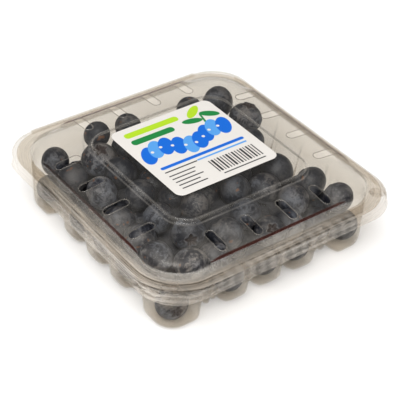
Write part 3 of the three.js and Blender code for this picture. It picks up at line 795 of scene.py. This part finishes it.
def make_label():
    edge = []
    for quarter, (sx, sy) in enumerate(((1, 1), (-1, 1), (-1, -1), (1, -1))):
        for k in range(LABEL_CORNER_STEPS + 1):
            a = (quarter + k / LABEL_CORNER_STEPS) * math.pi / 2
            edge.append((sx * (LABEL_W / 2 - LABEL_R) + LABEL_R * math.cos(a),
                         sy * (LABEL_H / 2 - LABEL_R) + LABEL_R * math.sin(a)))
    foot = BRIM_Z + PLATEAU_RISE
    vertices = [(LABEL_X + x * scale, LABEL_Y + y * scale, foot + h)
                for scale, h in LABEL_ROWS for x, y in edge]
    vertices.append((LABEL_X, LABEL_Y, foot + LABEL_T))
    middle, count = len(vertices) - 1, len(edge)
    faces = rings_of_quads(len(LABEL_ROWS), count)
    top_row = (len(LABEL_ROWS) - 1) * count
    faces += [(top_row + i, top_row + (i + 1) % count, middle) for i in range(count)]
    faces.append(tuple(reversed(range(count))))
    label = make_object("label_print", vertices, faces, paper_material, False)
    label.data.materials.append(paper_back)
    label.data.polygons[len(faces) - 1].material_index = 1  # the underside has no print
    return label


label = make_label()
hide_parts("label")
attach(label, "cover")

# ---------------------------------------------------------------- heap of berries
TOP_BERRIES = [
    (-46.2, 39.4, 6.4), (-28.6, 31.6, 8.0), (-46.0, 25.6, 6.5), (-41.0, 10.6, 7.3),
    (-29.6, -0.6, 6.8), (-45.4, -8.6, 6.8), (-31.9, -16.4, 6.8), (-46.8, -34.6, 6.8),
    (-36.6, -45.6, 7.0), (-27.2, -31.0, 7.1), (-14.6, -38.6, 7.1), (-16.6, -20.6, 6.7),
    (-0.2, -33.4, 6.7), (1.4, -47.4, 6.4), (22.4, -36.6, 7.0), (39.4, -45.6, 6.6),
    (36.4, -31.2, 7.3), (30.3, -16.6, 7.6), (46.0, 23.2, 7.6), (41.2, 39.4, 7.6),
    (33.4, 7.0, 7.0), (25.3, 39.6, 6.5), (-5.5, 43.8, 6.3), (-20.4, 46.4, 6.1),
]
BERRY_PITCH = 14.6
LAYERS = [(5, 5, 11.5), (6, 5, 23.0)]  # rows of the grid, rows kept, height
END_BERRY = (30.6, 39.2)
BERRY_R_MIN, BERRY_R_MAX = 6.5, 7.7
SETTLE_STEPS, SETTLE_FALL = 160, 0.06
BERRY_SEED = 20
BERRY_CLEAR, FOOT_CLEAR, NEST_DEPTH, NEST_SPREAD = 0.7, 1.0, 2.8, 0.6
SHOULDER_SPARE = 0.4
HEAP_STEP = (PLATEAU - 11, PLATEAU - 3)  # the heap goes down here from plateau to shoulder


def ceiling(x, y):
    """Height of the lid's inside over a place, which the berries stay under."""
    m = max(abs(x), abs(y))
    shoulder = BRIM_Z + SHOULDER_RISE - SHEET - SHOULDER_SPARE
    plateau = BRIM_Z + PLATEAU_RISE - SHEET
    fall = max(m - SHOULDER_FLAT, 0.0) * SHOULDER_FALL
    return plateau + (shoulder - plateau) * share(m, *HEAP_STEP) - fall


def flute_inset(s, z):
    """How far the tray's side stands in at a place along it and a height."""
    past = abs(s)
    from_lobe = min(past, abs(past - LOBE_PITCH))
    from_pod = max(POD_AT - past, 0.0)
    depth = FLUTE_FOOT + (FLUTE_TOP - FLUTE_FOOT) * share(z, FLUTE_LOW, FLUTE_HIGH)
    least = 0.0 if from_pod < from_lobe else max(depth - NEST_DEPTH, 0.0)
    return least + (depth - least) * share(min(from_lobe, from_pod), 1, 4)


def confine(berry):
    """Keeps a berry [x, y, z, r, fixed] inside the walls, over the floor and under the lid."""
    x, y, z, r, _ = berry
    draft = (TRAY_TOP - FOOT_HALF) * (z / BRIM_Z)
    wall = FOOT_HALF + draft - SHEET - BERRY_CLEAR - r
    wall_x, wall_y = wall - flute_inset(y, z), wall - flute_inset(x, z)
    low = FLOOR_Z + SHEET + BERRY_CLEAR + r
    high = ceiling(x, y) - BERRY_CLEAR - r
    round_ = max(POD_R + (TRAY_TOP_R - POD_R) * (z / BRIM_Z) - r, 0.0)
    x = min(max(x, -wall_x), wall_x)
    y = min(max(y, -wall_y), wall_y)
    z = min(max(z, low), high)
    cx, cy = abs(x) - (wall - round_), abs(y) - (wall - round_)
    if cx > 0 and cy > 0:
        reach = math.sqrt(cx * cx + cy * cy)
        if reach > round_:
            x = math.copysign(wall - round_ + (cx * round_) / reach, x)
            y = math.copysign(wall - round_ + (cy * round_) / reach, y)
    berry[:3] = [x, y, z]


def nested_berries(draw):
    """The berries that sit in the tray's feet."""
    nested = []
    wall = FOOT_HALF - SHEET - BERRY_CLEAR
    for sx, sy in ((0, -1), (1, 0), (0, 1), (-1, 0)):
        for s in (-LOBE_PITCH, 0, LOBE_PITCH):
            r = BERRY_R_MIN + NEST_SPREAD * draw()
            out, z = wall - r, FOOT_Z + SHEET + FOOT_CLEAR + r
            nested.append([sx * out + sy * s, sy * out + sx * s, z, r, True])
    for sx, sy in ((-1, -1), (1, -1), (1, 1), (-1, 1)):
        r = BERRY_R_MIN + NEST_SPREAD * draw()
        out = POD_AT + (POD_R - SHEET - BERRY_CLEAR - r) * math.sqrt(0.5)
        nested.append([sx * out, sy * out, SHEET + FOOT_CLEAR + r, r, True])
    return nested


def settled_berries():
    """The same heap as the solid's: [x, y, z, r, fixed] of each berry."""
    state = BERRY_SEED

    def draw():
        nonlocal state
        state = (state * 1664525 + 1013904223) % 4294967296
        return state / 4294967296

    berries = [[x, y, ceiling(x, y) - BERRY_CLEAR - r, r, True] for x, y, r in TOP_BERRIES]

    def drop(x, y, z):
        r = BERRY_R_MIN + (BERRY_R_MAX - BERRY_R_MIN) * draw()
        berries.append([x, y, z + (draw() - 0.5) * 3, r, False])

    for grid_rows, kept, z in LAYERS:
        for i in range(kept):
            for j in range(kept):
                x = (i - (grid_rows - 1) / 2) * BERRY_PITCH + (draw() - 0.5) * 4
                y = (j - (grid_rows - 1) / 2) * BERRY_PITCH + (draw() - 0.5) * 4
                drop(x, y, z)
    along, out = END_BERRY
    for x, y in ((along, out), (-along, out), (out, along), (-out, along)):
        drop(x, y, LAYERS[0][2])
        drop(x, -y, LAYERS[0][2])
    for berry in berries:
        confine(berry)
    berries += nested_berries(draw)
    loose = [berry for berry in berries if not berry[4]]
    for _ in range(SETTLE_STEPS):
        for berry in loose:
            berry[2] -= SETTLE_FALL
        for i, a in enumerate(berries):
            for b in berries[i + 1:]:
                if a[4] and b[4]:
                    continue
                dx, dy, dz = b[0] - a[0], b[1] - a[1], b[2] - a[2]
                away = math.sqrt(dx * dx + dy * dy + dz * dz)
                overlap = a[3] + b[3] - away
                if overlap <= 0:
                    continue
                push = (overlap if a[4] or b[4] else overlap / 2) / away
                if not a[4]:
                    a[0] -= dx * push
                    a[1] -= dy * push
                    a[2] -= dz * push
                if not b[4]:
                    b[0] += dx * push
                    b[1] += dy * push
                    b[2] += dz * push
        for berry in loose:
            confine(berry)
    return berries


# One berry from its bottom to the middle of its crown, in radii: distance from the axis,
# height, how far the crown's five lobes stand out there, and how much of it is crown.
BERRY_END = 0.93
BERRY_PROFILE = [(math.sin(a), -BERRY_END * math.cos(a), 0.0, 0.0)
                 for a in (math.pi * k / 17 for k in range(1, 15))]
BERRY_PROFILE += [
    (0.46, 0.825, 0.0, 0.1), (0.435, 0.858, 0.03, 0.25), (0.42, 0.893, 0.06, 0.35),
    (0.385, 0.890, 0.085, 0.5), (0.34, 0.845, 0.10, 0.85), (0.285, 0.78, 0.10, 1.0),
    (0.20, 0.735, 0.07, 1.0), (0.12, 0.72, 0.02, 1.0), (0.05, 0.745, 0.0, 0.8),
]
CROWN_MIDDLE, CROWN_MIDDLE_SHARE = 0.755, 0.7
LOBE_DIP = 0.3  # how far a lobe of the crown hangs, as a share of how far it stands out
BERRY_SEGMENTS = 30


def axis_towards(sideways, upwards, nearer):
    """A direction given as seen by the camera."""
    return (right * sideways + up * upwards + back * nearer).normalized()


# Berries whose crown shows, by their place in the heap, with their dustiness.
CROWNS = {1: (axis_towards(0.10, 0.62, 0.75), 0.55), 18: (axis_towards(0.25, 0.85, 0.45), 0.5),
          94: (axis_towards(0.38, -0.55, 0.75), 0.95)}
CROWN_SEEN, TURNED_AWAY = 0.15, 0.8  # most other crowns that face the camera turn away
LABEL_SHADOW = 0.6  # under the plateau the berries are darker: the label's painted shadow


def make_berries():
    rng = random.Random(7)
    vertices, faces, tones, crowns = [], [], [], []
    rings = len(BERRY_PROFILE)
    for index, (x, y, z, r, _) in enumerate(settled_berries()):
        axis = Vector([rng.gauss(0, 1) for _ in range(3)]).normalized()
        if axis.dot(back) > CROWN_SEEN and rng.random() < TURNED_AWAY:
            axis = -axis
        axis, given_tone = CROWNS.get(index, (axis, None))
        turn = axis.to_track_quat("Z", "Y").to_matrix()
        twist = rng.random() * 2 * math.pi
        flat = 0.92 + 0.06 * rng.random()
        crown_size = 0.75 + 0.35 * rng.random()
        ahead = -0.63 * x - 0.78 * y  # painted light: paler towards the front corner
        dust_and_light = rng.random() * (0.35 + 0.25 * share(ahead, -30, 20)) + 0.5 * share(ahead, 34, 52)
        if max(abs(x), abs(y)) < PLATEAU:
            dust_and_light *= LABEL_SHADOW
        if given_tone is not None:
            dust_and_light = given_tone
        first = len(vertices)
        vertices.append(Vector((0, 0, -BERRY_END * flat)))
        crowns.append(0.0)
        for across, height, lobe, crown in BERRY_PROFILE:
            for k in range(BERRY_SEGMENTS):
                a = 2 * math.pi * k / BERRY_SEGMENTS
                wave = lobe * math.cos(5 * a)
                wide = (across + wave) * (1 + (crown_size - 1) * crown)
                vertices.append(Vector((wide * math.cos(a + twist), wide * math.sin(a + twist),
                                        height * flat - LOBE_DIP * wave)))
                crowns.append(crown)
        vertices.append(Vector((0, 0, CROWN_MIDDLE * flat)))
        crowns.append(CROWN_MIDDLE_SHARE)
        size = 2 + rings * BERRY_SEGMENTS
        tones += [dust_and_light] * size
        for i in range(first, first + size):
            vertices[i] = turn @ vertices[i] * r + Vector((x, y, z))
        last = first + size - 1
        for k in range(BERRY_SEGMENTS):
            j = (k + 1) % BERRY_SEGMENTS
            faces.append((first, first + 1 + j, first + 1 + k))
            for row in range(rings - 1):
                a = first + 1 + row * BERRY_SEGMENTS
                faces.append((a + k, a + j, a + BERRY_SEGMENTS + j, a + BERRY_SEGMENTS + k))
            top = first + 1 + (rings - 1) * BERRY_SEGMENTS
            faces.append((top + k, top + j, last))
    berries = make_object("berries_heap", vertices, faces, skin_material)
    for name, values in (("dust_and_light", tones), ("crown", crowns)):
        attribute = berries.data.attributes.new(name, "FLOAT", "POINT")
        attribute.data.foreach_set("value", values)
    return berries


# The painted-shade core from its middle below to its top: half width, corner radius, height.
CORE_RINGS = [(30, 6, 8.6), (38, 8, 9.4), (40, 8, 12), (40, 8, 15), (33, 8, 17.5), (27, 7, 20),
              (25, 6, 23), (22, 6, 24.5), (12, 3, 25)]
CORE_FOOT, CORE_LUMP = 8.4, 0.8
CORE_SHIFT_FROM, CORE_SHIFT = 0.0165, 0.006  # metres: its upper part stands further forward


def make_shade_core():
    """A dark, lumpy body inside the heap, hidden behind the berries: painted shade in their gaps.
    """
    rings = [{"hx": half, "r": r, "z": z} for half, r, z in CORE_RINGS]
    core_stations = [-30.0 + 3.0 * k for k in range(21)]
    core = shell("heap_shade_core", rings, core_stations, lambda s: (0.0, 0.0, 0.0), shade_material,
                 CORE_FOOT)
    noise = random.Random(3)
    for vertex in core.data.vertices:
        vertex.co += Vector([noise.uniform(-CORE_LUMP, CORE_LUMP) * MM for _ in range(3)])
        if vertex.co.z > CORE_SHIFT_FROM:
            vertex.co.x -= CORE_SHIFT
            vertex.co.y -= CORE_SHIFT
    return core


berries = make_berries()
core = make_shade_core()
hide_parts("berries")
for piece in (berries, core):
    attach(piece, "base")

# ---------------------------------------------------------------- floor, light and view
STAGE_HALF, STAGE_Z = 700, -0.05
SKY_STRENGTH = 0.12


def floor_paint():
    """Plain pale paint."""
    n = Nodes("floor")
    shader = n.add("ShaderNodeBsdfDiffuse")
    n.put(shader.inputs["Color"],
          n.mix(n.noise(n.place(), 3.0), rgb(0.93, 0.93, 0.93), rgb(0.95, 0.95, 0.95)))
    return n.finish(shader.outputs[0])


floor = make_object("floor", [(x * STAGE_HALF, y * STAGE_HALF, STAGE_Z)
                              for x, y in ((-1, -1), (1, -1), (1, 1), (-1, 1))],
                    [(0, 1, 2, 3)], floor_paint(), False)

world = bpy.data.worlds.new("studio")
bpy.context.scene.world = world
world.use_nodes = True
sky = world.node_tree
dim = sky.nodes["Background"]
dim.inputs[0].default_value = rgb(1.0, 0.99, 0.975)
dim.inputs[1].default_value = SKY_STRENGTH
# The camera sees a white backdrop, which doesn't light the pack.
backdrop = sky.nodes.new("ShaderNodeBackground")
backdrop.inputs[0].default_value = rgb(1.0, 1.0, 1.0)
backdrop.inputs[1].default_value = 1.0
seen = sky.nodes.new("ShaderNodeMixShader")
sky.links.new(sky.nodes.new("ShaderNodeLightPath").outputs["Is Camera Ray"], seen.inputs[0])
sky.links.new(dim.outputs[0], seen.inputs[1])
sky.links.new(backdrop.outputs[0], seen.inputs[2])
sky.links.new(seen.outputs[0], sky.nodes["World Output"].inputs[0])


def area_light(name, place, target, size, power):
    data = bpy.data.lights.new(name, "AREA")
    data.size = size
    data.energy = power
    light = bpy.data.objects.new(name, data)
    light.location = place
    light.rotation_euler = (Vector(target) - Vector(place)).to_track_quat("-Z", "Y").to_euler()
    bpy.context.scene.collection.objects.link(light)


area_light("top", (-0.42, -0.20, 1.45), (0, 0, 0.02), 1.0, 16.0)
area_light("near_left", (-1.05, -0.70, 1.05), (0, 0, 0.02), 1.2, 17.0)
area_light("near_right", (-0.30, -1.20, 1.05), (0, 0, 0.02), 1.2, 13.0)

scene = bpy.context.scene
scene.view_settings.view_transform = "Standard"
scene.cycles.transparent_max_bounces = 32
